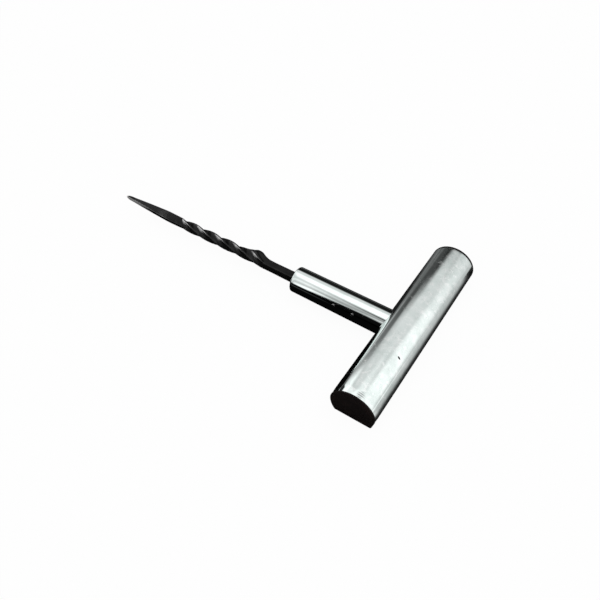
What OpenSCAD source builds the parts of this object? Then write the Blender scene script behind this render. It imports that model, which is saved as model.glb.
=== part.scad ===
// Tire repair reamer: a T-handled hand tool with a twisted, pointed blade.
// The tool lies on the flat underside of its cross bar. The bar runs along Y, the blade points along -X,
// and the origin is the middle of the flat, so the bar's axis is above it.

/* [Cross bar] */
// Overall length of the bar, end plugs included
bar_length = 92; // [80:1:110]
// Diameter of the round back of the bar
bar_d = 20; // [18:0.5:24]
// Width of the slope along each long edge of the flat
bar_edge = 0.4; // [0.3:0.1:1.2]
// Wall thickness of the bar
bar_wall = 1.6; // [1.2:0.1:2]

/* [End plugs] */
// Thickness of the plug's head, outside the tube
plug_head = 0.4; // [0.3:0.1:2]
// Length of the plug inside the tube
plug_depth = 10; // [7:0.5:14]
// Wall thickness of the hollow plug
plug_wall = 1.4; // [1:0.1:1.8]
// Number of gripping fins around the plug
plug_fins = 3; // [2:1:4]

/* [Stem] */
// Diameter of the stem at the bar, where it is level with the flat below
stem_d = 12.5; // [11:0.5:14]
// Diameter of the stem at its free end
stem_end_d = 12; // [10.5:0.1:14]
// Distance from the bar's axis to the free end of the stem
stem_reach = 55.1; // [48:0.1:64]
// How far the stem sits from the middle of the bar, towards -Y
stem_offset = 1.3; // [0:0.1:4]
// Radius of the rim at the free end
stem_rim_r = 0.8; // [0.4:0.1:1.2]
// Diameter of the spigot that enters the bar
spigot_d = 8; // [6:0.5:9]

/* [Blade] */
// Distance from the bar's axis to the tip
tip_reach = 157.8; // [150:0.1:170]
// Side of the square bar in the stem and along the twist
blade_side = 3.8; // [3.5:0.1:4.5]
// Side of the shank where it meets the twist
shank_side = 3.6; // [3.2:0.1:4.2]
// Side of the point where its taper begins
point_side = 4.25; // [3.5:0.05:4.5]
// Rounding of the four edges
blade_edge_r = 0.18; // [0.1:0.01:0.4]
// Hollow of each face in the twisted stretch
blade_hollow = 0.15; // [0:0.01:0.3]
// Roll of the square shank, from an edge pointing at -Y
shank_roll = 46; // [0:1:90]
// Distance from the bar's axis to the start of the twist
twist_start = 71.5; // [68:0.1:76]
// Length of the twisted stretch
twist_length = 49.8; // [40:0.1:56]
// Turn of the twisted stretch, right-handed
twist_turn = 423; // [270:1:540]
// Distance from the bar's axis to the start of the point's taper
point_start = 129.3; // [124:0.1:136]
// Slow turn that runs on to the tip
point_turn = 42; // [0:1:60]
// Half side of the point where its nose begins
nose_half = 0.775; // [0.5:0.025:1.2]
// Length of the rounded nose
nose_length = 3.2; // [1:0.1:4]
// Height of the knuckle forged up where the twist meets the shank
knuckle_rise = 2.55; // [0:0.05:2.8]

/* [Drive pins] */
// Diameter of the pins
pin_d = 1.6; // [1.2:0.1:2]
// Distance from the bar's axis to the inner pin
inner_pin_at = 22.7; // [21:0.1:27]
// Distance from the bar's axis to the outer pin
outer_pin_at = 32.1; // [29:0.1:38]
// Slope of the pins above the level plane
pin_slope = 19; // [0:1:45]

/* [Hidden] */
$fn = 96;

// Room left between pieces that are pressed or brazed together
fit_gap = 0.03;
axis_z = stem_d / 2;
bar_r = bar_d / 2;
tube_length = bar_length - 2 * plug_head;

// The bore is blind, and the tang stops just short of its end
bore_r = blade_side / 2 * sqrt(2) - blade_edge_r * (sqrt(2) - 1) + fit_gap;
bore_end = 17;
tang_end = bore_end + 0.5;
spigot_end = 1;

// Pins go through the tang and stop inside the far wall of the stem
pin_blind = bore_r + 1.8;

// The knuckle points up and away from the near side of the tool
knuckle_at = twist_start + 6.3;
knuckle_length = 3.9;
knuckle_way = 150;
knuckle_focus = 4.2;

// D-shaped outline in X and Z: a circle about the bar's axis, cut by a flat and by a slope along each edge.
// The slope halves the angle between the flat and the circle.
module d_outline(inset) {
    r = bar_r - inset;
    corner = acos((axis_z - inset) / r);
    flat_half = r * sin(corner) - bar_edge;
    slope_rise = r * tan(corner / 2);
    intersection() {
        translate([0, axis_z]) circle(r);
        polygon([
            [flat_half, inset], [flat_half + r, inset + slope_rise], [flat_half + r, 3 * r],
            [-flat_half - r, 3 * r], [-flat_half - r, inset + slope_rise], [-flat_half, inset]
        ]);
    }
}

// D-shaped slab from one Y to another
module d_slab(inset, y_from, y_to) {
    translate([0, y_to, 0]) rotate([90, 0, 0]) linear_extrude(y_to - y_from) d_outline(inset);
}

// Solid rod along the stem's axis, given by its distances from the bar's axis
module stem_rod(r, from, to) {
    translate([-from, -stem_offset, axis_z]) rotate([0, -90, 0]) cylinder(r = r, h = to - from);
}

// Rod along a drive pin's axis, from the blind end to a given distance from the stem's axis
module pin_rod(r, at, top) {
    translate([-at, -stem_offset, axis_z]) rotate([90 - pin_slope, 0, 0])
        translate([0, 0, -pin_blind]) cylinder(r = r, h = top + pin_blind);
}

module handle_tube() {
    color("gainsboro") difference() {
        d_slab(0, -tube_length / 2, tube_length / 2);
        d_slab(bar_wall, -tube_length / 2 - 1, tube_length / 2 + 1);
        stem_rod(spigot_d / 2 + fit_gap, 0, bar_r + 1);
    }
}

// Plug for the end at -Y: a head level with the tube, and a hollow plug with fins that grip the tube
module end_plug() {
    inner_y = -tube_length / 2;
    fin_step = plug_depth / (plug_fins + 0.5);
    core_inset = bar_wall + 0.4;
    color("black") {
        difference() {
            union() {
                d_slab(0, inner_y - plug_head, inner_y);
                d_slab(core_inset, inner_y, inner_y + plug_depth);
                for (i = [1:plug_fins])
                    d_slab(bar_wall + fit_gap, inner_y + i * fin_step - 0.8, inner_y + i * fin_step);
            }
            d_slab(core_inset + plug_wall, inner_y + 1, inner_y + plug_depth + 1);
        }
    }
}

module near_end_plug() {
    end_plug();
}

module far_end_plug() {
    mirror([0, 1, 0]) end_plug();
}

// Radius of the stem at a distance u from the bar's axis: a slight taper from the bar to the free end
function stem_r(u) = lookup(u, [[bar_r, stem_d / 2], [stem_reach, stem_end_d / 2]]);

// Outline of the stem turned about its axis: distance from the bar's axis upwards, radius outwards
module stem_outline() {
    rim = [for (a = [0:15:90]) [
        stem_end_d / 2 - stem_rim_r * (1 - cos(a)),
        stem_reach - stem_rim_r * (1 - sin(a))
    ]];
    polygon(concat([[0, 0], [stem_d / 2, 0], [stem_d / 2, bar_r]], rim, [[0, stem_reach]]));
}

module stem() {
    color("gainsboro") difference() {
        union() {
            difference() {
                translate([0, -stem_offset, axis_z]) rotate([0, -90, 0]) rotate_extrude() stem_outline();
                translate([0, 0, axis_z]) rotate([90, 0, 0])
                    cylinder(r = bar_r + fit_gap, h = bar_length, center = true);
            }
            stem_rod(spigot_d / 2, spigot_end, bar_r + 3);
        }
        stem_rod(bore_r, bore_end, stem_reach + 1);
        pin_rod(pin_d / 2 + fit_gap, inner_pin_at, stem_d);
        pin_rod(pin_d / 2 + fit_gap, outer_pin_at, stem_d);
    }
}

// Half side of the square at a distance u from the bar's axis: straight lines between a few stations, then
// a round nose
twist_end = twist_start + twist_length;
nose_start = tip_reach - nose_length;
half_stations = [
    [0, blade_side / 2],
    [stem_reach + 1, blade_side / 2],
    [twist_start - 2, shank_side / 2],
    [twist_start + 4, blade_side / 2],
    [twist_end, blade_side / 2],
    [point_start, point_side / 2],
    [nose_start, nose_half]
];
// How much of a quarter ellipse the nose is: the rest is a small flat at its end
nose_round = 0.95;
function half_side(u) =
    u <= nose_start ?
        lookup(u, half_stations) :
        nose_half * sqrt(1 - pow(nose_round * (u - nose_start) / nose_length, 2));

// Roll of the square at u: steady along the twist, then growing with the square of the way to the tip
function roll(u) =
    shank_roll
    + twist_turn * min(max((u - twist_start) / twist_length, 0), 1)
    + point_turn * pow(max(u - twist_end, 0) / (tip_reach - twist_end), 2);

// The hollow of the faces fades in at the shank and out at the point
function hollow(u) =
    blade_hollow * min(max(min(u - twist_start, twist_end + 2 - u) / 3, 0), 1);

// A quarter of the section: three points round a corner, then three along a face that dips in its middle
corner_steps = [-45, 0, 45];
face_steps = [-0.5, 0, 0.5];
function quarter(half, edge_r, dip, turn) = concat(
    [for (a = corner_steps) [
        sqrt(2) * (half - edge_r) * cos(turn) + edge_r * cos(turn + a),
        sqrt(2) * (half - edge_r) * sin(turn) + edge_r * sin(turn + a)
    ]],
    [for (t = face_steps) let (out = half - dip * (1 - t * t), along = t * (half - edge_r)) [
        out * cos(turn + 45) - along * sin(turn + 45),
        out * sin(turn + 45) + along * cos(turn + 45)
    ]]
);

// Lifts a point of the section outwards where the knuckle is
function knuckle(u, p) =
    let (
        facing = max(0, (p[0] * cos(knuckle_way) + p[1] * sin(knuckle_way)) / norm(p)),
        rise = knuckle_rise * exp(-pow((u - knuckle_at) / knuckle_length, 2)) * pow(facing, knuckle_focus)
    )
    [p[0] + rise * cos(knuckle_way), p[1] + rise * sin(knuckle_way)];

// Closed ring of points around the blade at u
function blade_ring(u) =
    let (half = half_side(u), edge_r = min(blade_edge_r, half * 0.4))
    [for (q = [0:3], p = quarter(half, edge_r, hollow(u), roll(u) + 90 * q))
        let (k = knuckle(u, p)) [u, k[0], k[1]]];

// Stations along the blade, close together where it twists
twist_step = 0.8;
point_step = 2.6;
nose_steps = 4;
blade_stations = concat(
    [tang_end, stem_reach + 1],
    [for (u = [twist_start - 6:twist_step:twist_end + 2]) u],
    [for (u = [twist_end + 2 + point_step:point_step:nose_start - point_step / 2]) u],
    [for (i = [0:nose_steps]) nose_start + nose_length * sin(90 * i / nose_steps)]
);

// Skin over rings of equal size, closed at both ends by a fan about the middle of the ring
module skin(rings) {
    n = len(rings[0]);
    last = len(rings) - 1;
    middles = [for (ring = [rings[0], rings[last]]) [for (k = [0:2]) sum_of(ring, k) / n]];
    points = concat([for (ring = rings, p = ring) p], middles);
    first_middle = n * (last + 1);
    sides = [for (i = [0:last - 1], j = [0:n - 1]) let (a = i * n + j, b = i * n + (j + 1) % n)
        each [[a, a + n, b + n], [a, b + n, b]]];
    ends = [for (j = [0:n - 1]) let (b = (j + 1) % n)
        each [[j, b, first_middle], [last * n + b, last * n + j, first_middle + 1]]];
    polyhedron(points, concat(sides, ends));
}

// Sum of one coordinate over a ring of points
function sum_of(ring, k) = [for (p = ring) p[k]] * [for (p = ring) 1];

module reamer_blade() {
    color("dimgray") difference() {
        translate([0, -stem_offset, axis_z]) rotate([0, 0, 180])
            skin([for (u = blade_stations) blade_ring(u)]);
        pin_rod(pin_d / 2 + fit_gap, inner_pin_at, stem_d);
        pin_rod(pin_d / 2 + fit_gap, outer_pin_at, stem_d);
    }
}

module inner_pin() {
    color("silver") pin_rod(pin_d / 2, inner_pin_at, stem_r(inner_pin_at) - fit_gap);
}

module outer_pin() {
    color("silver") pin_rod(pin_d / 2, outer_pin_at, stem_r(outer_pin_at) - fit_gap);
}

handle_tube();
near_end_plug();
far_end_plug();
stem();
reamer_blade();
inner_pin();
outer_pin();
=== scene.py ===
"""Looks of a tire repair reamer: chromed bar and stem, black end plugs, dark twisted blade.

Lengths are in metres in the CAD frame: the bar runs along Y, the blade points along -X, Z is up.
"""
import math

import bpy
import numpy as np
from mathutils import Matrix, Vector


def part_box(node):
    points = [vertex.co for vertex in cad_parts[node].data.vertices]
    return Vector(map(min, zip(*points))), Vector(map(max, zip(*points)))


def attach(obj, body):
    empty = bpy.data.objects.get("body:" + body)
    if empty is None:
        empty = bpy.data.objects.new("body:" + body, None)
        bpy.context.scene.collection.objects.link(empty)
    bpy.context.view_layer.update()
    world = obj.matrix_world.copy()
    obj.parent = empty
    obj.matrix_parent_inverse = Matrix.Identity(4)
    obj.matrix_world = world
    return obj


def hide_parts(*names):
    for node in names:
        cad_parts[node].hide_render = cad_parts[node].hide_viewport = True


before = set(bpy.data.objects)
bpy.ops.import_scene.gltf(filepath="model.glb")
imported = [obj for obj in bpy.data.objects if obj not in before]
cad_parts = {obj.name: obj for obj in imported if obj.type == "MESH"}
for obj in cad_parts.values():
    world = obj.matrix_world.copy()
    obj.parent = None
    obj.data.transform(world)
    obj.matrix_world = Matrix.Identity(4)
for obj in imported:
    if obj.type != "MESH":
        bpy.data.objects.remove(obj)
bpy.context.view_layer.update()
scene = bpy.context.scene
MM = 0.001

# Sizes that the CAD nodes give
tube_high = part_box("handle_tube")[1]
plug_low, plug_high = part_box("near_end_plug")
stem_low, stem_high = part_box("stem")
blade_low, blade_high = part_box("reamer_blade")
BAR_R = tube_high[0]
AXIS_Z = (stem_high[2] + stem_low[2]) / 2
TUBE_HALF = tube_high[1]
PLUG_FACE = -plug_low[1]
PLUG_END = -plug_high[1]
STEM_R = (stem_high[2] - stem_low[2]) / 2
STEM_Y = (stem_high[1] + stem_low[1]) / 2
STEM_REACH = -stem_low[0]
SPIGOT_END = -stem_high[0]
TIP_REACH = -blade_low[0]
TANG_END = -blade_high[0]

# Sizes of the bar and the plugs that no box shows
BAR_WALL = 1.6 * MM
BAR_EDGE = 0.35 * MM
LEAST_EDGE = 0.1 * MM
FLANK_TURN = math.radians(-13.8)
NEAR_RIM = 0.1 * MM
FAR_RIM = 0.45 * MM
CROWN_LENGTH = 3.4 * MM
CROWN_DROP = 0.24 * MM
FACE_RINGS = np.array([5.6, 5.0, 4.0, 3.0, 2.0, 1.2, 0.7]) * MM
FACE_CROWN = 0.08 * MM
HEAD_RIM = 0.14 * MM
HEAD_SINK = 0.02 * MM
PLUG_CORE = 2.0 * MM
PLUG_FIN = 1.63 * MM
FIN_COUNT = 3
FIN_LENGTH = 0.8 * MM
FIN_SLOPE = 0.1 * MM
PLUG_CHAMFER = 0.2 * MM
PLUG_HOLLOW = 3.4 * MM
HOLLOW_MIDDLE = 4.6 * MM
HOLLOW_FLOOR = 2.0 * MM

# Sizes of the stem that no box shows
STEM_RIM = 0.8 * MM
STEM_END_R = 6.0 * MM
COPE_GAP = 0.03 * MM
SPIGOT_R = 4.0 * MM
SPIGOT_CHAMFER = 0.3 * MM
BORE_R = 2.643 * MM
BORE_END = 17.0 * MM
BORE_MOUTH = 0.35 * MM

# Sizes of the blade, measured along it from the bar's axis
BLADE_HALF = 1.9 * MM
SHANK_HALF = 1.8 * MM
POINT_HALF = 2.125 * MM
NOSE_HALF = 0.775 * MM
TWIST_START = 71.5 * MM
TWIST_END = TWIST_START + 49.8 * MM
POINT_START = 129.3 * MM
NOSE_START = TIP_REACH - 3.2 * MM
NOSE_SHARE = 0.95
HALF_SIDES = np.array([
    (STEM_REACH + 1.0 * MM, BLADE_HALF),
    (TWIST_START - 2.0 * MM, SHANK_HALF),
    (TWIST_START + 4.0 * MM, 1.02 * BLADE_HALF),
    (TWIST_START + 28.0 * MM, 1.08 * BLADE_HALF),
    (TWIST_END, 1.05 * BLADE_HALF),
    (POINT_START, POINT_HALF),
    (NOSE_START, NOSE_HALF),
])
SIDE_BLEND = 3.0 * MM
SHANK_ROLL = 46.0
TWIST_TURN = 423.0
POINT_TURN = 42.0
EDGE_R = 0.18 * MM
RIDGE_R = 0.56 * MM
RIDGE_FADE = 4.0 * MM
FACE_HOLLOW = 0.2 * MM
HOLLOW_FADE = 3.0 * MM
BOW_AT = 90.0 * MM
BOW_LENGTH = 14.0 * MM
BOW_RISE = 0.12 * MM
BOW_BACK = 0.15 * MM
HAMMER_DEPTH = 0.03 * MM
HAMMER_SHORT = 2.3 * MM
HAMMER_LONG = 5.7 * MM
KNUCKLE_AT = TWIST_START + 6.3 * MM
KNUCKLE_LENGTH = 4.3 * MM
KNUCKLE_FALL = 3.7 * MM
KNUCKLE_RISE = 2.6 * MM
KNUCKLE_WAY = math.radians(150)
KNUCKLE_LEAN = math.radians(3) / MM
KNUCKLE_FOCUS = 3.6
KNUCKLE_ROUND = 0.7 * MM

# Sizes of the drive pins
PIN_R = 0.8 * MM
PIN_DOME = 0.22 * MM
PIN_SINK = 0.06 * MM
PIN_BLIND = BORE_R + 1.8 * MM
PIN_SLOPE = math.radians(19)


def ramp(low, high, value):
    """Smooth step from 0 at low to 1 at high: 3t^2 - 2t^3 of the share of the way."""
    t = np.clip((value - low) / (high - low), 0.0, 1.0)
    return t * t * (3 - 2 * t)


def between(rise, top, brow, fall, value):
    """1 from top to brow, easing to 0 at rise before them and at fall after them."""
    return ramp(rise, top, value) * ramp(fall, brow, value)


def hump(centre, width, value):
    """Bell curve about a centre: e to the minus square of the distance in widths."""
    return np.exp(-((value - centre) / width) ** 2)


def put(name, points, faces, crease=35):
    """Mesh object at the origin from points and faces, smooth but for edges sharper than crease degrees."""
    mesh = bpy.data.meshes.new(name)
    mesh.from_pydata(points, [], faces)
    mesh.update()
    mesh.shade_smooth()
    mesh.set_sharp_from_angle(angle=math.radians(crease))
    piece = bpy.data.objects.new(name, mesh)
    scene.collection.objects.link(piece)
    return piece


def skin(name, rings, wrap=False, crease=35):
    """Closed surface over rings of equal size, as an array of rings by points by 3.

    Each point is joined to its neighbour in the ring and to its fellow in the next ring by quads. A wrapped
    skin joins its last ring to its first; any other has a fan about the mean of each end ring. The sum of
    the quads' and fans' cone volumes tells the way round, so that the faces point outwards.
    """
    count, size, _ = rings.shape
    rows = np.arange(count if wrap else count - 1)[:, None]
    cols = np.arange(size)[None, :]
    here, there = rows * size, (rows + 1) % count * size
    ahead = (cols + 1) % size
    quads = np.stack([here + cols, here + ahead, there + ahead, there + cols], -1).reshape(-1, 4)
    points = rings.reshape(-1, 3)
    fans = np.zeros((0, 3), int)
    if not wrap:
        points = np.vstack([points, rings[0].mean(0), rings[-1].mean(0)])
        around = np.arange(size)
        onward = (around + 1) % size
        last = (count - 1) * size
        first_pole, last_pole = np.full(size, count * size), np.full(size, count * size + 1)
        fans = np.vstack([
            np.stack([onward, around, first_pole], -1),
            np.stack([last + around, last + onward, last_pole], -1),
        ])
    a, b, c, d = (points[quads[:, k]] for k in range(4))
    volume = np.einsum("ij,ij->", a, np.cross(b, c)) + np.einsum("ij,ij->", a, np.cross(c, d))
    f, g, h = (points[fans[:, k]] for k in range(3))
    volume += np.einsum("ij,ij->", f, np.cross(g, h))
    if volume < 0:
        quads, fans = quads[:, ::-1], fans[:, ::-1]
    return put(name, points, quads.tolist() + fans.tolist(), crease)


def mark(piece, name, values):
    """Stores one number a vertex on the piece; the poles of a skin take 0."""
    layer = piece.data.attributes.new(name, "FLOAT", "POINT")
    full = np.zeros(len(piece.data.vertices), np.float32)
    full[:values.size] = values.ravel()
    layer.data.foreach_set("value", full)


def bar_rings(inset, y, drop_in):
    """D outlines of the bar at each y, drawn in by each inset, and by each drop in on the round back only.

    The outline is a flat underside, an arc at each of its ends and the round back. Each arc's centre is
    its radius above the flat. The left arc touches the back's circle. The right arc touches a straight
    flank, which leaves the circle at the flank's turn under the axis.
    """
    inset, y, drop_in = (np.asarray(each, float)[:, None] for each in (inset, y, drop_in))
    r = BAR_R - inset - drop_in
    drop = AXIS_Z - inset
    edge = np.maximum(BAR_EDGE - inset, LEAST_EDGE)
    side = np.sqrt((r - edge) ** 2 - (drop - edge) ** 2)
    meet = np.arctan2(edge - drop, side)
    leave = np.maximum(FLANK_TURN, meet)
    foot = (r - edge - (edge - drop) * np.sin(leave)) / np.cos(leave)
    flat_x = -side + (foot + side) * np.linspace(0, 1, 26)[None, 1:-1]
    share = np.linspace(0, 1, 9)[None, :]
    right = -math.pi / 2 + (leave + math.pi / 2) * share
    left = -math.pi / 2 + (meet + math.pi / 2) * share[:, ::-1]
    back = leave + (math.pi - meet - leave) * np.linspace(0, 1, 129)[None, 1:-1]
    x = np.concatenate([
        flat_x, foot + edge * np.cos(right), r * np.cos(back), -side - edge * np.cos(left)], 1)
    z = np.concatenate([
        0 * flat_x - drop, edge - drop + edge * np.sin(right), r * np.sin(back),
        edge - drop + edge * np.sin(left)], 1)
    return np.stack([x, y + 0 * x, AXIS_Z + z], -1)


def make_tube():
    """D outline carried once round the section of the tube's wall: outside, rim, inside, rim.

    The round back falls away towards the near end with the square of the share of the crown's length. The
    fall fades out through the inner half of the wall, so the inside keeps its size.
    """
    turn = np.linspace(0, math.pi / 2, 7)
    start = NEAR_RIM - TUBE_HALF
    crown_end = start + CROWN_LENGTH
    run = np.concatenate([
        start + CROWN_LENGTH * np.linspace(0, 1, 18)[1:-1],
        np.linspace(crown_end, TUBE_HALF - FAR_RIM, 68)[:-1]])

    def rim(radius):
        inset = np.concatenate([radius * (1 - np.cos(turn)), BAR_WALL - radius * (1 - np.sin(turn))])
        return inset, TUBE_HALF - radius * (1 - np.concatenate([np.sin(turn), np.cos(turn)]))

    far_inset, far_y = rim(FAR_RIM)
    near_inset, near_y = rim(NEAR_RIM)
    inset = np.concatenate([0 * run, far_inset, BAR_WALL + 0 * run, near_inset[::-1]])
    y = np.concatenate([run, far_y, run[::-1], -near_y[::-1]])
    fall = CROWN_DROP * np.clip((crown_end - y) / CROWN_LENGTH, 0, 1) ** 2
    fall *= np.clip(2 - 2 * inset / BAR_WALL, 0, 1)
    return skin("bar_tube", bar_rings(inset, y, fall), wrap=True)


def make_plug(name, side, drop):
    """D outline carried from the middle of the head, over its rim, along the fins and into the hollow.

    The head's face is crowned: it falls back from its middle with the square of the share of the way out.
    On the round back the face and the rim are lower than the foot of the head by the drop.
    """
    face_y = PLUG_FACE - FACE_CROWN * (1 - FACE_RINGS / AXIS_Z) ** 2
    turn = np.linspace(0, math.pi / 2, 7)
    rim_inset = HEAD_RIM * (1 - np.sin(turn))
    rim_y = PLUG_FACE - FACE_CROWN - HEAD_RIM * (1 - np.cos(turn))
    foot = TUBE_HALF - HEAD_SINK
    fin_step = (foot - PLUG_END) / (FIN_COUNT + 0.5)
    fin_top = foot - fin_step * np.arange(1, FIN_COUNT + 1) + FIN_LENGTH
    fin_down = np.array([0, FIN_SLOPE, FIN_LENGTH - FIN_SLOPE, FIN_LENGTH])
    fins_y = (fin_top[:, None] - fin_down).ravel()
    fins_inset = np.tile([PLUG_CORE, PLUG_FIN, PLUG_FIN, PLUG_CORE], FIN_COUNT)
    tail_inset = [PLUG_CORE, PLUG_CORE + PLUG_CHAMFER, PLUG_HOLLOW, PLUG_HOLLOW, HOLLOW_MIDDLE]
    floor_y = PLUG_FACE - HOLLOW_FLOOR
    tail_y = [PLUG_END + PLUG_CHAMFER, PLUG_END, PLUG_END, floor_y, floor_y]
    inset = np.concatenate([FACE_RINGS, rim_inset, [0, PLUG_CORE], fins_inset, tail_inset])
    y = np.concatenate([face_y, rim_y, [foot, foot], fins_y, tail_y])
    return skin(name, bar_rings(inset, side * y, np.where(y > TUBE_HALF, drop, 0.0)))


def stem_radius(u):
    """Radius of the stem at u from the bar's axis: a straight taper from the bar to the free end's rim."""
    share = np.clip((u - BAR_R) / (STEM_REACH - STEM_RIM - BAR_R), 0, 1)
    return STEM_R - (STEM_R - STEM_END_R) * share


def make_stem():
    """Radius and distance carried round the stem's axis, from the bore's floor to the end of the spigot.

    The cope at the bar is a saddle: a point at radius r and angle t lies where its height r cos t meets
    the circle of the bar, at the root of R^2 - (r cos t)^2 from the bar's axis.
    """
    angle = np.linspace(0, 2 * math.pi, 192, endpoint=False)[None, :]
    turn = np.linspace(0, math.pi / 2, 9)
    r = np.concatenate([
        [0.5 * BORE_R, BORE_R, BORE_R, BORE_R + BORE_MOUTH],
        np.linspace(BORE_R + BORE_MOUTH, STEM_END_R - STEM_RIM, 5)[1:-1],
        STEM_END_R - STEM_RIM * (1 - np.sin(turn)),
    ])
    u = np.concatenate([
        [BORE_END, BORE_END, STEM_REACH - BORE_MOUTH, STEM_REACH],
        np.full(3, STEM_REACH),
        STEM_REACH - STEM_RIM * (1 - np.cos(turn)),
    ])
    turned_r = r[:, None] + 0 * angle
    turned_u = u[:, None] + 0 * angle
    cope_r = np.linspace(STEM_R, SPIGOT_R, 7)[:, None] + 0 * angle
    cope_u = np.sqrt((BAR_R + COPE_GAP) ** 2 - (cope_r * np.cos(angle)) ** 2)
    share = np.linspace(0, 1, 34)[1:-1, None]
    side_u = u[-1] + share * (cope_u[:1] - u[-1])
    side_r = stem_radius(side_u)
    spigot_r = np.array([SPIGOT_R, SPIGOT_R - SPIGOT_CHAMFER, 0.5 * SPIGOT_R])[:, None] + 0 * angle
    spigot_u = np.array([SPIGOT_END + SPIGOT_CHAMFER, SPIGOT_END, SPIGOT_END])[:, None] + 0 * angle
    radius = np.concatenate([turned_r, side_r, cope_r, spigot_r])
    reach = np.concatenate([turned_u, side_u, cope_u, spigot_u])
    rings = np.stack([
        -reach, STEM_Y + radius * np.sin(angle), AXIS_Z + radius * np.cos(angle)], -1)
    return skin("stem_rod", rings)


def make_blade():
    """Rounded square carried along the blade, rolled and scaled by the distance u from the bar's axis.

    The half side follows straight lines between a few stations, averaged over a short stretch to either
    side, and ends in a quarter ellipse. The roll is constant along the shank, climbs steadily along the
    twist and then with the square of the way to the tip. Along the twist the edges are rounder ridges, and
    a face dips by the hollow times 1 - t^2 across it. The knuckle lifts points by a bell curve along u,
    times a power of the cosine between the point's direction and the knuckle's, which leans round the
    blade along u, and it makes one of the edges rounder still. Slow waves leave the hammered unevenness of
    a forged bar, and a wide bell bows the blade slightly.
    """
    u = np.concatenate([
        np.linspace(TANG_END, STEM_REACH - 1 * MM, 6),
        np.arange(STEM_REACH, TWIST_START - 6 * MM, 0.5 * MM),
        np.arange(TWIST_START - 6 * MM, TWIST_END + 3 * MM, 0.25 * MM),
        np.arange(TWIST_END + 3 * MM, NOSE_START, 0.5 * MM),
        NOSE_START + (TIP_REACH - NOSE_START) * np.sin(np.linspace(0, math.pi / 2, 14)),
    ])[:, None]
    stretch = u[..., None] + np.linspace(-SIDE_BLEND, SIDE_BLEND, 7)
    half = np.interp(stretch, HALF_SIDES[:, 0], HALF_SIDES[:, 1]).mean(-1)
    nose = np.clip((u - NOSE_START) / (TIP_REACH - NOSE_START), 0, 1)
    half = half * np.sqrt(1 - (NOSE_SHARE * nose) ** 2)
    twist = np.clip((u - TWIST_START) / (TWIST_END - TWIST_START), 0, 1)
    point = np.clip((u - TWIST_END) / (TIP_REACH - TWIST_END), 0, 1)
    roll = np.radians(SHANK_ROLL + TWIST_TURN * twist + POINT_TURN * point ** 2)
    inside = np.minimum(u - TWIST_START, TWIST_END + 2 * MM - u)
    dip = FACE_HOLLOW * np.clip(inside / HOLLOW_FADE, 0, 1)
    ridge = EDGE_R + (RIDGE_R - EDGE_R) * ramp(0.0, RIDGE_FADE, inside)
    past = u - KNUCKLE_AT
    bell = np.exp(-np.abs(past / np.where(past > 0, KNUCKLE_FALL, KNUCKLE_LENGTH)) ** 2.4)
    plain = np.minimum(ridge, 0.4 * half)
    rounder = np.minimum(ridge + KNUCKLE_ROUND * bell, 0.45 * half)
    edges = [plain, rounder, plain, plain]
    arc = np.radians(np.linspace(-45, 45, 13))[None, :]
    t = np.linspace(-1, 1, 19)[None, 1:-1]
    p, q, worn = [], [], []
    for quarter in range(4):
        way = roll + quarter * math.pi / 2
        edge, onward = edges[quarter], edges[(quarter + 1) % 4]
        p_arc = math.sqrt(2) * (half - edge) * np.cos(way) + edge * np.cos(way + arc)
        q_arc = math.sqrt(2) * (half - edge) * np.sin(way) + edge * np.sin(way + arc)
        face = way + math.pi / 4
        wave = HAMMER_DEPTH * np.sin(u / HAMMER_SHORT + 2.1 * quarter) * np.sin(u / HAMMER_LONG + quarter)
        out = half - (dip - wave * half / BLADE_HALF) * (1 - t ** 2)
        along = ((1 + t) * (half - onward) - (1 - t) * (half - edge)) / 2
        p += [p_arc, out * np.cos(face) - along * np.sin(face)]
        q += [q_arc, out * np.sin(face) + along * np.cos(face)]
        worn += [1 + 0 * p_arc, t ** 6 + 0 * u]
    p, q, worn = (np.concatenate(parts, 1) for parts in (p, q, worn))
    lean = KNUCKLE_WAY + KNUCKLE_LEAN * past
    facing = (p * np.cos(lean) + q * np.sin(lean)) / np.hypot(p, q)
    lift = KNUCKLE_RISE * bell * np.maximum(facing, 0) ** KNUCKLE_FOCUS
    bow = hump(BOW_AT, BOW_LENGTH, u)
    p = p + lift * np.cos(lean) - BOW_BACK * bow
    q = q + lift * np.sin(lean) + BOW_RISE * bow
    piece = skin("twisted_blade", np.stack([-u + 0 * p, STEM_Y - p, AXIS_Z + q], -1), crease=60)
    mark(piece, "edge_wear", worn)
    return piece


def make_pin(name, node):
    """Radius and height carried round the pin's axis: a plain shank with a shallow ball dome on top."""
    low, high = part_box(node)
    at_x = (low[0] + high[0]) / 2
    turn = np.linspace(0, math.pi / 2, 10)[1:-1]
    top = stem_radius(-at_x) - PIN_SINK
    r = np.concatenate([[0.4 * PIN_R, PIN_R, PIN_R], PIN_R * np.cos(turn)])[:, None]
    h = np.concatenate([[-PIN_BLIND, -PIN_BLIND, top], top + PIN_DOME * np.sin(turn)])[:, None]
    angle = np.linspace(0, 2 * math.pi, 40, endpoint=False)[None, :]
    way = np.array([0, -math.cos(PIN_SLOPE), math.sin(PIN_SLOPE)])
    across = np.array([0, math.sin(PIN_SLOPE), math.cos(PIN_SLOPE)])
    rings = (
        np.array([at_x, STEM_Y, AXIS_Z])
        + h[..., None] * way
        + (r * np.cos(angle))[..., None] * np.array([1, 0, 0])
        + (r * np.sin(angle))[..., None] * across)
    return skin(name, rings)


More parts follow.
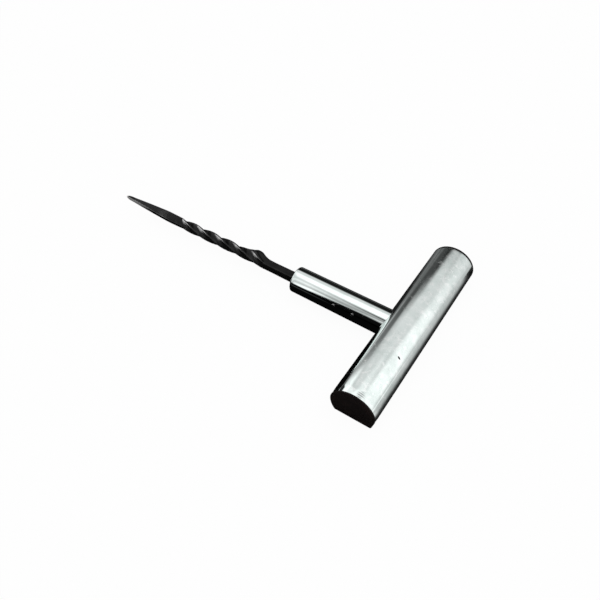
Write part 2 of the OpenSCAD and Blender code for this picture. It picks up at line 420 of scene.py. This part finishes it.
# Shader helpers
class Graph:
    """Short way to add and join nodes in one tree."""

    def __init__(self, tree):
        self.tree = tree

    def add(self, kind, inputs=None, **values):
        """Node of a kind, with its inputs joined or set and its own values set."""
        node = self.tree.nodes.new(kind)
        for key, value in values.items():
            setattr(node, key, value)
        for key, value in (inputs or {}).items():
            if isinstance(value, bpy.types.NodeSocket):
                self.tree.links.new(value, node.inputs[key])
            else:
                node.inputs[key].default_value = value
        return node

    def math(self, operation, first, second=0.0):
        """Sum, product or the like of two values."""
        return self.add("ShaderNodeMath", {0: first, 1: second}, operation=operation).outputs[0]

    def plus(self, value, mask, amount):
        """The value with an amount of the mask added."""
        return self.math("ADD", value, self.math("MULTIPLY", mask, amount))

    def fit(self, value, low, high, to_low=0.0, to_high=1.0):
        """Smooth step from to_low, where the value is low, to to_high, where it is high."""
        return self.add("ShaderNodeMapRange", {
            "Value": value, "From Min": low, "From Max": high, "To Min": to_low, "To Max": to_high,
        }, interpolation_type="SMOOTHSTEP").outputs["Result"]

    def blend(self, share, first, second):
        """Colour that goes from the first to the second with the share."""
        return self.add("ShaderNodeMix", {0: share, 6: first, 7: second}, data_type="RGBA").outputs[2]

    def tint(self, colour, mask, amount, second):
        """The colour blended towards a second one by an amount of the mask."""
        return self.blend(self.math("MULTIPLY", mask, amount), colour, second)

    def place(self):
        """Where the point is on the piece."""
        return self.add("ShaderNodeTexCoord").outputs["Object"]

    def vector(self, operation, first, second, output=0):
        """Sum, product or the like of two vectors."""
        return self.add("ShaderNodeVectorMath", {0: first, 1: second}, operation=operation).outputs[output]

    def show(self, shader_output):
        """Joins a shader to the material's output."""
        self.tree.links.new(shader_output, self.tree.nodes["Material Output"].inputs["Surface"])


def new_group(name, inputs, outputs):
    """Empty shader node group with named number inputs and outputs."""
    tree = bpy.data.node_groups.new(name, "ShaderNodeTree")
    for label, value in inputs.items():
        tree.interface.new_socket(label, in_out="INPUT", socket_type="NodeSocketFloat").default_value = value
    for label in outputs:
        tree.interface.new_socket(label, in_out="OUTPUT", socket_type="NodeSocketFloat")
    graph = Graph(tree)
    return graph, graph.add("NodeGroupInput").outputs, graph.add("NodeGroupOutput").inputs


def make_cloud_group():
    """Soft patches: slow noise bent by slower noise, pushed apart between a low and a high level."""
    graph, given, result = new_group("soft_patches", {"Scale": 60.0, "Low": 0.35, "High": 0.7}, ["Mask"])
    noise = graph.add("ShaderNodeTexNoise", {
        "Vector": graph.place(), "Scale": given["Scale"],
        "Detail": 4.0, "Roughness": 0.55, "Distortion": 0.6,
    }).outputs["Fac"]
    graph.tree.links.new(graph.fit(noise, given["Low"], given["High"]), result["Mask"])
    return graph.tree


def make_grain_group():
    """Fine grain: quick noise for a rough or cast skin, as a height about a half."""
    graph, given, result = new_group("fine_grain", {"Scale": 2500.0}, ["Height"])
    noise = graph.add("ShaderNodeTexNoise", {
        "Vector": graph.place(), "Scale": given["Scale"], "Detail": 3.0, "Roughness": 0.6,
    }).outputs["Fac"]
    graph.tree.links.new(noise, result["Height"])
    return graph.tree


def make_hairline_group():
    """Hairlines: noise drawn out along one axis, where only the highest ridges count."""
    graph, given, result = new_group(
        "hairlines", {"Across": 900.0, "Along": 12.0, "Slant": 0.3, "Level": 0.68}, ["Mask"])
    parts = graph.add("ShaderNodeSeparateXYZ", {0: graph.place()}).outputs
    slanted = graph.plus(parts["X"], parts["Y"], given["Slant"])
    drawn_out = graph.add("ShaderNodeCombineXYZ", {
        "X": graph.math("MULTIPLY", slanted, given["Across"]),
        "Y": graph.math("MULTIPLY", parts["Y"], given["Along"]),
        "Z": graph.math("MULTIPLY", parts["Z"], given["Across"]),
    }).outputs[0]
    noise = graph.add("ShaderNodeTexNoise", {
        "Vector": drawn_out, "Scale": 1.0, "Detail": 2.0, "Roughness": 0.5}).outputs["Fac"]
    over = graph.math("SUBTRACT", noise, given["Level"])
    mask = graph.math("MAXIMUM", graph.math("MULTIPLY", over, 8.0), 0.0)
    graph.tree.links.new(graph.math("MINIMUM", mask, 1.0), result["Mask"])
    return graph.tree


SOFT_PATCHES = make_cloud_group()
FINE_GRAIN = make_grain_group()
HAIRLINES = make_hairline_group()


def new_material(name):
    """Material with a Principled shader wired to its output."""
    material = bpy.data.materials.new(name)
    material.use_nodes = True
    graph = Graph(material.node_tree)
    return material, graph, material.node_tree.nodes["Principled BSDF"]


def place_group(graph, tree, **values):
    """Group node with its own input values."""
    node = graph.add("ShaderNodeGroup", node_tree=tree)
    for label, value in values.items():
        node.inputs[label.title()].default_value = value
    return node.outputs[0]


def wire(graph, shader, colour, rough, height, strength, depth):
    """Joins a finish's colour, roughness and bump height to its shader."""
    bump = graph.add("ShaderNodeBump", {"Height": height, "Strength": strength, "Distance": depth})
    graph.tree.links.new(colour, shader.inputs["Base Color"])
    graph.tree.links.new(rough, shader.inputs["Roughness"])
    graph.tree.links.new(bump.outputs[0], shader.inputs["Normal"])


def spot(graph, centre, low, high, way=(0, 1, 0), slim=1.0):
    """Mask that is 1 at a place on the piece and fades out between two distances from it.

    A distance along the way counts only by the share slim, which draws the spot out along it.
    """
    offset = graph.vector("SUBTRACT", graph.place(), centre)
    along = graph.vector("DOT_PRODUCT", offset, way, "Value")
    excess = graph.math("MULTIPLY", along, 1 - slim)
    taken = graph.add("ShaderNodeVectorMath", {0: way, "Scale": excess}, operation="SCALE").outputs[0]
    left = graph.vector("SUBTRACT", offset, taken)
    length = graph.add("ShaderNodeVectorMath", {0: left}, operation="LENGTH").outputs["Value"]
    return graph.fit(length, low, high, 1.0, 0.0)


def make_chrome(name, handled):
    """Bright plating: broad and fine patches of haze, pale flecks that are rougher, and fine scuffs.

    The handled bar is hazier, and has a nick, a patch rubbed in fine lines by its near end, and a band of
    painted shade along its far rim, by the plug.
    """
    material, graph, shader = new_material(name)
    broad = place_group(graph, SOFT_PATCHES, scale=30.0, low=0.3, high=0.7)
    haze = place_group(graph, SOFT_PATCHES, scale=85.0, low=0.36, high=0.7)
    mottle = place_group(graph, SOFT_PATCHES, scale=330.0, low=0.4, high=0.75)
    fleck = place_group(graph, SOFT_PATCHES, scale=420.0, low=0.55, high=0.68)
    lines = place_group(graph, HAIRLINES, across=1500.0, along=160.0, slant=0.5, level=0.62)
    grain = place_group(graph, FINE_GRAIN, scale=1400.0)
    mottle_tint, fleck_tint = (0.6, 0.6) if handled else (0.35, 0.2)
    haze_rough, fleck_rough = (0.13, 0.1) if handled else (0.07, 0.04)
    colour = graph.blend(broad, (0.825, 0.885, 0.87, 1), (0.735, 0.805, 0.785, 1))
    colour = graph.tint(colour, haze, 0.55, (0.6, 0.67, 0.65, 1))
    colour = graph.tint(colour, mottle, mottle_tint, (0.93, 0.96, 0.95, 1))
    colour = graph.tint(colour, fleck, fleck_tint, (0.97, 0.99, 0.98, 1))
    colour = graph.tint(colour, lines, 0.2, (0.5, 0.5, 0.5, 1))
    rough = graph.fit(haze, 0.0, 1.0, 0.035, haze_rough)
    rough = graph.plus(rough, lines, 0.06)
    rough = graph.plus(rough, fleck, fleck_rough)
    height = graph.math("MULTIPLY", grain, 0.2)
    if handled:
        nick_at = (5.75 * MM, -20.2 * MM, 14.4 * MM)
        nick = spot(graph, nick_at, 0.25 * MM, 0.55 * MM, (0.789, -0.275, -0.549), 0.52)
        rub = spot(graph, (2.0 * MM, -44.0 * MM, 16.0 * MM), 0.6 * MM, 2.2 * MM)
        place = graph.place()
        bands = graph.add("ShaderNodeTexWave", {
            "Vector": place, "Scale": 380.0, "Distortion": 1.0, "Detail": 2.0,
        }, bands_direction="Y").outputs["Fac"]
        rubbed = graph.math("MULTIPLY", rub, graph.fit(bands, 0.2, 0.8, 0.3, 0.9))
        colour = graph.blend(rubbed, colour, (0.2, 0.21, 0.21, 1))
        along = graph.add("ShaderNodeSeparateXYZ", {0: place}).outputs["Y"]
        # Painted shade: a band along the far rim, by the plug, turned near black and rougher
        far_rim_shade = graph.fit(along, TUBE_HALF - 1.1 * MM, TUBE_HALF - 0.65 * MM)
        # The nick is a real dent and the rim band is painted shade; both darken the colour and roughen the
        # finish
        nick_and_rim_shade = graph.math("MAXIMUM", nick, far_rim_shade)
        colour = graph.blend(nick_and_rim_shade, colour, (0.03, 0.03, 0.03, 1))
        rough = graph.plus(rough, nick_and_rim_shade, 0.5)
        height = graph.plus(height, nick, -2.0)
    shader.inputs["Metallic"].default_value = 1.0
    wire(graph, shader, colour, rough, height, 0.04, 0.05 * MM)
    return material


def make_pin_steel():
    """Plain ground steel of the pins' ends: grey, with a soft mottle and a fine grain."""
    material, graph, shader = new_material("pin_steel")
    mottle = place_group(graph, SOFT_PATCHES, scale=900.0, low=0.35, high=0.7)
    grain = place_group(graph, FINE_GRAIN, scale=5200.0)
    colour = graph.blend(mottle, (0.36, 0.36, 0.36, 1), (0.5, 0.5, 0.5, 1))
    rough = graph.fit(mottle, 0.0, 1.0, 0.28, 0.36)
    shader.inputs["Metallic"].default_value = 1.0
    wire(graph, shader, colour, rough, grain, 0.2, 0.02 * MM)
    return material


def make_plastic():
    """Black moulded plastic: fine spark grain, and slightly paler and shinier where it has been rubbed."""
    material, graph, shader = new_material("plug_plastic")
    grain = place_group(graph, FINE_GRAIN, scale=2600.0)
    rubbed = place_group(graph, SOFT_PATCHES, scale=160.0, low=0.45, high=0.7)
    black, pale = (0.0085, 0.0046, 0.0041, 1), (0.02, 0.012, 0.011, 1)
    colour = graph.blend(graph.math("MULTIPLY", rubbed, 0.5), black, pale)
    rough = graph.fit(rubbed, 0.0, 1.0, 0.55, 0.42)
    shader.inputs["Specular IOR Level"].default_value = 0.3
    wire(graph, shader, colour, rough, grain, 0.35, 0.04 * MM)
    return material


def make_dark_steel():
    """Forged steel with a dark oxide skin: blotchy scale, brighter rubbed edges, a fine pitted grain."""
    material, graph, shader = new_material("dark_steel")
    scale = place_group(graph, SOFT_PATCHES, scale=420.0, low=0.35, high=0.7)
    blotch = place_group(graph, SOFT_PATCHES, scale=130.0, low=0.4, high=0.7)
    grain = place_group(graph, FINE_GRAIN, scale=2200.0)
    edge = graph.add("ShaderNodeAttribute", attribute_name="edge_wear").outputs["Fac"]
    worn = graph.math("MULTIPLY", edge, graph.fit(scale, 0.1, 0.9, 0.35, 1.0))
    colour = graph.blend(scale, (0.011, 0.011, 0.0112, 1), (0.017, 0.017, 0.0168, 1))
    colour = graph.tint(colour, blotch, 0.5, (0.01, 0.0098, 0.0095, 1))
    colour = graph.tint(colour, worn, 0.6, (0.04, 0.04, 0.04, 1))
    rough = graph.plus(graph.fit(blotch, 0.0, 1.0, 0.17, 0.27), worn, -0.06)
    shader.inputs["Metallic"].default_value = 0.7
    shader.inputs["Specular IOR Level"].default_value = 0.2
    wire(graph, shader, colour, rough, graph.plus(scale, grain, 0.5), 0.07, 0.06 * MM)
    return material


# The tool's own pieces
bar_chrome = make_chrome("bar_chrome", handled=True)
stem_chrome = make_chrome("stem_chrome", handled=False)
plug_plastic = make_plastic()
dark_steel = make_dark_steel()
pin_steel = make_pin_steel()
blade = make_blade()
for piece, node, slot, material in (
    (make_tube(), "handle_tube", "plated_steel", bar_chrome),
    (make_plug("near_plug", -1, CROWN_DROP), "near_end_plug", "plug_plastic", plug_plastic),
    (make_plug("far_plug", 1, 0.0), "far_end_plug", "plug_plastic", plug_plastic),
    (make_stem(), "stem", "plated_steel", stem_chrome),
    (blade, "reamer_blade", "dark_steel", dark_steel),
    (make_pin("inner_drive_pin", "inner_pin"), "inner_pin", "plated_steel", pin_steel),
    (make_pin("outer_drive_pin", "outer_pin"), "outer_pin", "plated_steel", pin_steel),
):
    piece.data.materials.append(material)
    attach(piece, "root")
    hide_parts(node)


# Stage
def grid(name, x, y, z):
    """Open surface from three arrays of one shape, joined by quads."""
    rows, cols = x.shape
    i, j = np.meshgrid(np.arange(rows - 1), np.arange(cols - 1), indexing="ij")
    corner = (i * cols + j).ravel()
    faces = np.stack([corner, corner + 1, corner + cols + 1, corner + cols], -1)
    return put(name, np.stack([x, y, z], -1).reshape(-1, 3), faces.tolist())


def make_floor():
    """Wide square just under the tool, white to the camera with a trace of the tool's shadow."""
    x, y = np.meshgrid(np.linspace(-3, 3, 3), np.linspace(-3, 3, 3))
    floor = grid("floor", x, y, 0 * x - 0.05 * MM)
    material, graph, shader = new_material("floor_white")
    shader.inputs["Base Color"].default_value = (0.9, 0.9, 0.9, 1)
    shader.inputs["Roughness"].default_value = 1.0
    shader.inputs["Specular IOR Level"].default_value = 0.0
    white = graph.add("ShaderNodeEmission", {"Color": (1, 1, 1, 1), "Strength": 1.0})
    camera_ray = graph.add("ShaderNodeLightPath").outputs["Is Camera Ray"]
    share = graph.math("MULTIPLY", camera_ray, 0.95)
    both = graph.add("ShaderNodeMixShader", {0: share, 1: shader.outputs[0], 2: white.outputs[0]})
    graph.show(both.outputs[0])
    floor.data.materials.append(material)


def card_material(name, clear):
    """Card lit by the brightness stored on its vertices; a clear one adds its light to what is behind it."""
    material, graph, shader = new_material(name)
    graph.tree.nodes.remove(shader)
    glow = graph.add("ShaderNodeAttribute", attribute_name="glow").outputs["Fac"]
    light = graph.add("ShaderNodeEmission", {"Color": (1, 1, 1, 1), "Strength": glow}).outputs[0]
    if clear:
        glass = graph.add("ShaderNodeBsdfTransparent").outputs[0]
        light = graph.add("ShaderNodeAddShader", {0: light, 1: glass}).outputs[0]
    graph.show(light)
    return material


def stage_card(card, glow, material):
    """Lights a card and keeps it out of sight of everything but mirror-like reflections."""
    mark(card, "glow", glow)
    card.data.materials.append(material)
    card.visible_camera = False
    card.visible_diffuse = False
    card.visible_transmission = False
    card.visible_volume_scatter = False
    card.visible_shadow = False


def sky_patch(name, radius, azimuth, elevation):
    """Piece of a sphere by azimuth, 0 at -Y and rising towards +X, and elevation, both in degrees."""
    a, e = np.radians(azimuth), np.radians(elevation)
    return grid(name, radius * np.sin(a) * np.cos(e), -radius * np.cos(a) * np.cos(e), radius * np.sin(e))


def dome_glow(azimuth, elevation):
    """Brightness of the dome: pale walls, brighter overhead, with brighter stretches and dark flags."""
    # Walls and the brighter sky, which starts higher over the near side
    near_sky = between(-62, -40, 70, 90, azimuth)
    glow = 0.8 + 0.55 * ramp(55 + 9 * near_sky, 68 + 8 * near_sky, elevation)
    # Dimmer stretch low on the far left
    glow *= 1 - 0.3 * between(-152, -142, -126, -119, azimuth) * ramp(48, 28, elevation)
    # Brighter stretch on the left, which starts at a leaning line
    past_left = azimuth + 119.5 + 0.3 * (elevation - 12)
    glow += 0.35 * ramp(-1, 3, past_left) * ramp(-54, -66, azimuth) * ramp(40, 28, elevation)
    # Brighter stretch on the right, which ends at a leaning line
    right = np.where(azimuth < -180, azimuth + 360, azimuth)
    past_right = right - 131 - 0.41 * (elevation - 13)
    glow += 0.45 * ramp(55, 75, right) * ramp(10, -9, past_right) * between(-4, 12, 50, 74, elevation)
    # Bright patch halfway up on the left
    glow += 0.3 * between(-129, -121, -104, -88, azimuth) * between(18, 30, 56, 66, elevation)
    # Dark flag low on the left, with a stepped top
    left_top = np.interp(
        azimuth, [-126, -121, -117, -112, -70, -56, -40, -30], [-4, -4, 2, 14, 14, 22, 22, 4])
    left_flag = between(-128, -124, -22, -14, azimuth) * ramp(left_top + 5, left_top - 1, elevation)
    glow *= 1 - 0.98 * left_flag
    # Dim belt high over the near side, and a bright then dim stretch of wall under it
    glow *= 1 - 0.9 * ramp(-46, -30, azimuth) * hump(60.5, 7, elevation)
    under_belt = 0.35 * ramp(-46, -36, azimuth) - 0.85 * ramp(-37, -23, azimuth)
    glow *= 1 + under_belt * ramp(60, 48, elevation)
    # Dark flag on the near side, with a pale edge over its top and a bright slit at its left end
    near = between(-27, -24, 80, 100, azimuth)
    near_top = np.interp(
        azimuth, [-26, -24.6, -23.6, -22.4, -20.8, -19, 60], [-6, 0, 7, 15, 25, 29, 32])
    glow += (0.25 + 0.2 * ramp(-22, -19, azimuth)) * near * hump(near_top + 10, 4, elevation)
    glow += 0.8 * hump(-25, 2, azimuth) * between(2, 10, 24, 34, elevation)
    glow *= 1 - 0.99 * near * ramp(near_top + 3, near_top - 3, elevation)
    # Dark flag on the far left, which thins out towards the leaning line and has a gap low at that end
    far_top = np.interp(
        azimuth, [-190, -170, -158, -152, -146, -142, -139, -136, -133, -130, -124],
        [41, 41, 40, 40.5, 38.5, 36, 33, 29.5, 27.5, 28, 30])
    cover = np.interp(
        past_left, [-10, -8, -5, -2.5, -1, 0, 1, 2.5], [1, 0.93, 0.82, 0.74, 0.6, 0.42, 0.2, 0])
    far_flag = cover * ramp(-205, -190, azimuth) * ramp(far_top + 6, far_top - 6, elevation)
    far_flag *= 1 - 0.75 * hump(2, 4, elevation) * between(-131, -125, -121, -118, azimuth)
    flag_glow = 0.012 + ramp(-148, -138, azimuth) * (0.06 + 0.09 * ramp(16, 4, elevation))
    return glow * (1 - far_flag) + flag_glow * far_flag


def shadowed_sheet_glow(x, y):
    """Brightness of the sheet, x and y in millimetres: painted shadow of the tool by the bar, paler to its
    right.
    """
    # Painted shadow of the tool: near black at the bar's right side, paling over the next 35 mm or so
    glow = np.interp(
        x, [9, 15, 17.5, 21, 28, 44, 140, 400], [0.002, 0.03, 0.07, 0.28, 0.54, 0.63, 0.7, 0.77])
    # Brighter on the right, towards the near side and beside the near end
    brighter = 0.45 * ramp(40, 110, x) * ramp(100, -20, y) + 0.5 * ramp(50, 100, x) * ramp(40, 8, y)
    glow *= 1 + brighter
    glow *= 1 + 0.7 * ramp(12, 20, x) * ramp(-29, -40, y)
    # Faint light left of the bar, on the far side of the stem, and a paler corner there
    glow += 0.012 * ramp(10, 0, x) * between(6, 20, 120, 150, y)
    glow += 0.17 * ramp(0, -15, x) * ramp(35, 90, y) * ramp(95, 70, y + 0.75 * x)
    # Dark strip beyond the far end
    beyond_end = ramp(46, 54, y - 0.8 * np.maximum(x - 20, 0))
    glow *= 1 - 0.95 * beyond_end * between(0, 9, 28, 38, x)
    # Paler on the near side of the blade, dark in front of the near end, bright beyond the blade's point
    glow += 0.1 * ramp(-40, -62, x) * ramp(-22, -55, y)
    glow *= 1 - 0.98 * ramp(50, 20, x) * ramp(-40, -48, y)
    return glow + 4 * between(-350, -250, -168, -145, x) * between(-120, -50, 0, 30, y)


def make_cards():
    """Surroundings that the plating mirrors: a dome about the tool, and a sheet on the floor with the tool's
    shadow painted on it.

    The sheet's points crowd together towards the tool with the hyperbolic sine of their number.
    """
    material = card_material("card_glow", clear=False)
    azimuth, elevation = np.meshgrid(np.linspace(-260, 100, 361), np.linspace(-8, 90, 99))
    dome = sky_patch("studio_dome", 1.0, azimuth, elevation)
    stage_card(dome, dome_glow(azimuth, elevation), material)
    spread = np.sinh(np.linspace(-4, 4, 321)) / math.sinh(4) * 1.1
    x, y = np.meshgrid(spread, spread)
    sheet = grid("shadowed_floor_sheet", x, y, 0 * x - 0.03 * MM)
    stage_card(sheet, shadowed_sheet_glow(x / MM, y / MM), material)


def make_window(blade):
    """Tall bright window low on the left, a patch inside the dome, which only the dark blade mirrors.

    Its glow fades out towards its edges. The blade is left out of mirror reflections, so that the plating
    doesn't show the window's light on it.
    """
    azimuth, elevation = np.meshgrid(np.linspace(-100, -34, 67), np.linspace(-6, 50, 57))
    window = sky_patch("studio_window", 0.97, azimuth, elevation)
    glow = 25 * between(-96, -86, -65, -45, azimuth) * between(-6, 0, 21, 43, elevation)
    stage_card(window, glow, card_material("window_glow", clear=True))
    lit = bpy.data.collections.new("window_lit")
    lit.objects.link(blade)
    window.light_linking.receiver_collection = lit
    blade.visible_glossy = False


def make_softbox():
    """Soft rectangular lamp over the tool, which gives no highlight of its own."""
    lamp = bpy.data.lights.new("overhead_softbox", "AREA")
    lamp.shape = "RECTANGLE"
    lamp.size, lamp.size_y = 0.6, 0.5
    lamp.energy = 0.6
    softbox = bpy.data.objects.new("overhead_softbox", lamp)
    at, aim = Vector((-0.05, 0.05, 0.6)), Vector((-0.05, 0.0, 0.0))
    softbox.location = at
    softbox.rotation_euler = (aim - at).to_track_quat("-Z", "Y").to_euler()
    softbox.visible_glossy = False
    scene.collection.objects.link(softbox)


def make_world():
    """Even white room, plain white to the camera and a little dimmer as light."""
    world = bpy.data.worlds.new("studio")
    scene.world = world
    world.use_nodes = True
    graph = Graph(world.node_tree)
    room = world.node_tree.nodes["Background"]
    room.inputs["Color"].default_value = (1, 1, 1, 1)
    camera_ray = graph.add("ShaderNodeLightPath").outputs["Is Camera Ray"]
    graph.tree.links.new(graph.fit(camera_ray, 0.0, 1.0, 0.8, 1.0), room.inputs["Strength"])


def make_camera():
    """Camera at the photograph's viewing angle."""
    lens = bpy.data.cameras.new("camera")
    lens.sensor_width = 36.0
    lens.lens = 38.535
    lens.clip_start = 0.01
    camera = bpy.data.objects.new("camera", lens)
    at = Vector((52.831 * MM, -162.684 * MM, 221.099 * MM))
    aim = Vector((-46.762 * MM, -10.835 * MM, 6.25 * MM))
    camera.location = at
    camera.rotation_euler = (aim - at).to_track_quat("-Z", "Y").to_euler()
    scene.collection.objects.link(camera)
    scene.camera = camera


make_floor()
make_cards()
make_window(blade)
make_softbox()
make_world()
make_camera()
scene.view_settings.view_transform = "Standard"
